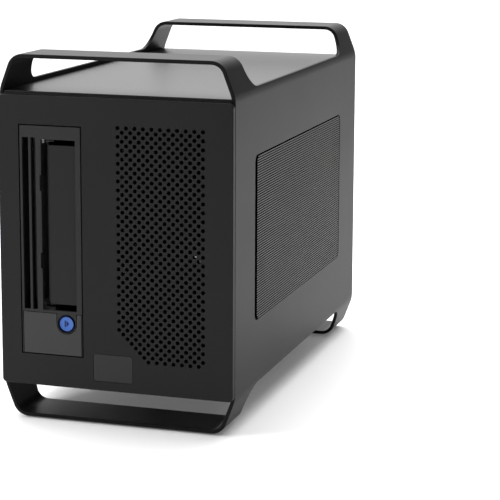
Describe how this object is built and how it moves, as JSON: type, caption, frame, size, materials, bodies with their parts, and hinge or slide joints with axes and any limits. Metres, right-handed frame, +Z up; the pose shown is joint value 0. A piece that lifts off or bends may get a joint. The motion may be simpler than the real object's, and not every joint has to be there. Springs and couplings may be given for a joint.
{
  "type": "data tape drive",
  "caption": "Upright desktop tape drive: black aluminium sleeve with carrying bars, perforated front, drive with cartridge door and eject button, vented rear with fan.",
  "frame": {"origin": "on the surface it stands on, below the middle of the outer box", "axes": "+Z up, -Y out of the front panel, +X to the right as seen from the front"},
  "size_m": [0.1572, 0.304, 0.237],
  "materials": {
    "sleeve": "satin black anodised",
    "front_panel": "matte black anodised",
    "grille": "ribbed black anodised",
    "pad": "moulded rubber",
    "box_black": "powder coat",
    "bezel": "fine moulded texture",
    "control": "fine moulded texture",
    "door": "fine moulded texture",
    "button": "semi-gloss",
    "plastic_black": "moulded",
    "plastic_pale": "moulded",
    "steel": "zinc plated",
    "screw_black": "black zinc",
    "cast": "die cast",
    "head": "machined",
    "roller": "polished",
    "board": "solder mask",
    "port": "plated shell"
  },
  "bodies": {
    "enclosure": {"outer_sleeve": "sleeve", "side_grille_left": "grille", "side_grille_right": "grille", "foot_pads": "pad", "chassis_tray": "box_black", "chassis_cover": "box_black", "front_panel": "front_panel", "front_panel_screws": "screw_black", "drive_bezel": "bezel", "control_panel": "control", "front_board": "board", "door_pin": "steel", "door_spring": "steel", "drive_base": "cast", "drive_cover": "steel", "drive_board": "board", "drive_cage": "steel", "cage_screws": "steel", "reel_motor": "steel", "takeup_motor": "steel", "roller_pins": "steel", "head_shafts": "steel", "arm_post": "steel", "rear_panel": "box_black", "rear_panel_screws": "screw_black", "fan_frame": "plastic_black", "fan_screws": "screw_black", "power_inlet": "plastic_black", "switch_body": "plastic_black", "data_ports": "port", "controller_board": "board", "board_posts": "steel", "power_supply": "steel", "supply_board": "board"},
    "cartridge_door": {"cartridge_door": "door"},
    "eject_button": {"eject_button": "button", "switch_plunger": "plastic_black"},
    "loader_tray": {"loader_tray": "steel"},
    "reel_clutch": {"reel_clutch": "plastic_pale"},
    "takeup_reel": {"takeup_reel": "plastic_pale"},
    "guide_roller_1": {"guide_roller_1": "roller"},
    "guide_roller_2": {"guide_roller_2": "roller"},
    "guide_roller_3": {"guide_roller_3": "roller"},
    "guide_roller_4": {"guide_roller_4": "roller"},
    "tape_head": {"tape_head": "head"},
    "threading_arm": {"threading_arm": "steel"},
    "fan_rotor": {"fan_rotor": "plastic_black"},
    "power_rocker": {"power_rocker": "plastic_black"}
  },
  "joints": [
    {"name": "door_hinge", "type": "hinge", "parent": "enclosure", "child": "cartridge_door", "pos_m": [-0.025, -0.1476, 0.129], "axis": [0, 0, -1], "range_deg": [0, 88], "stiffness_Nm_per_rad": 0.002, "springref_deg": -20.05},
    {"name": "button_press", "type": "slide", "parent": "enclosure", "child": "eject_button", "axis": [0, 1, 0], "range_m": [0, 0.0012], "stiffness_N_per_m": 800, "springref_m": -0.0005},
    {"name": "loader_slide", "type": "slide", "parent": "enclosure", "child": "loader_tray", "axis": [0, 1, 0], "range_m": [0, 0.012]},
    {"name": "clutch_spin", "type": "hinge", "parent": "enclosure", "child": "reel_clutch", "pos_m": [-0.052, -0.076, 0.1277], "axis": [1, 0, 0], "continuous": true},
    {"name": "takeup_spin", "type": "hinge", "parent": "enclosure", "child": "takeup_reel", "pos_m": [-0.047, 0.018, 0.112], "axis": [1, 0, 0], "continuous": true},
    {"name": "roller_1_spin", "type": "hinge", "parent": "enclosure", "child": "guide_roller_1", "pos_m": [-0.047, -0.013, 0.181], "axis": [1, 0, 0], "continuous": true},
    {"name": "roller_2_spin", "type": "hinge", "parent": "enclosure", "child": "guide_roller_2", "pos_m": [-0.047, 0.001, 0.179], "axis": [1, 0, 0], "continuous": true},
    {"name": "roller_3_spin", "type": "hinge", "parent": "enclosure", "child": "guide_roller_3", "pos_m": [-0.047, 0.039, 0.179], "axis": [1, 0, 0], "continuous": true},
    {"name": "roller_4_spin", "type": "hinge", "parent": "enclosure", "child": "guide_roller_4", "pos_m": [-0.047, 0.054, 0.168], "axis": [1, 0, 0], "continuous": true},
    {"name": "head_shift", "type": "slide", "parent": "enclosure", "child": "tape_head", "axis": [1, 0, 0], "range_m": [-0.004, 0.004]},
    {"name": "arm_swing", "type": "hinge", "parent": "enclosure", "child": "threading_arm", "pos_m": [-0.0364, 0.0115, 0.1582], "axis": [1, 0, 0], "range_deg": [0, 115]},
    {"name": "fan_spin", "type": "hinge", "parent": "enclosure", "child": "fan_rotor", "pos_m": [0.022, 0.131, 0.16], "axis": [0, 1, 0], "continuous": true},
    {"name": "rocker_tilt", "type": "hinge", "parent": "enclosure", "child": "power_rocker", "pos_m": [0.02, 0.1424, 0.056], "axis": [-1, 0, 0], "range_deg": [0, 20]}
  ]
}
